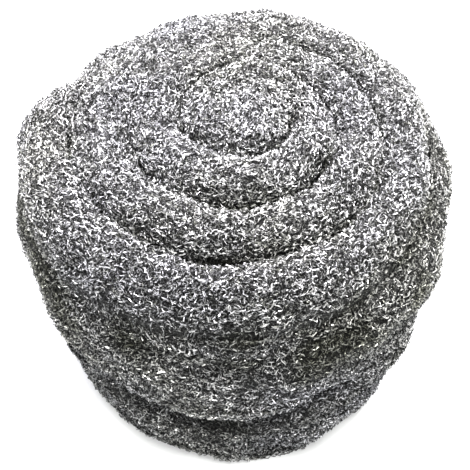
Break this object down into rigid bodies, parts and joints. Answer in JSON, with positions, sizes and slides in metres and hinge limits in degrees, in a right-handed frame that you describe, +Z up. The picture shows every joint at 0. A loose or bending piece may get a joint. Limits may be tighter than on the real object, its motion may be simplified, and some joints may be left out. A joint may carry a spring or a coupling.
{
  "type": "steel wool roll",
  "caption": "Roll of loose steel wool strip, wound flat and standing on its end, with a domed spiral top and a creased, softly gathered side.",
  "frame": {"origin": "centre of the roll's bounding box at the flat end it stands on", "axes": "+Z up along the winding axis, from the flat end to the domed spiral end; -Y towards the side the picture shows; the free end of the strip is at the -X side"},
  "size_m": [0.1234, 0.1256, 0.1037],
  "materials": {
    "steel_wool": "fine tangled steel fibres, dull grey with bright glints"
  },
  "bodies": {
    "root": {"steel_wool_roll": "steel_wool"}
  },
  "joints": []
}
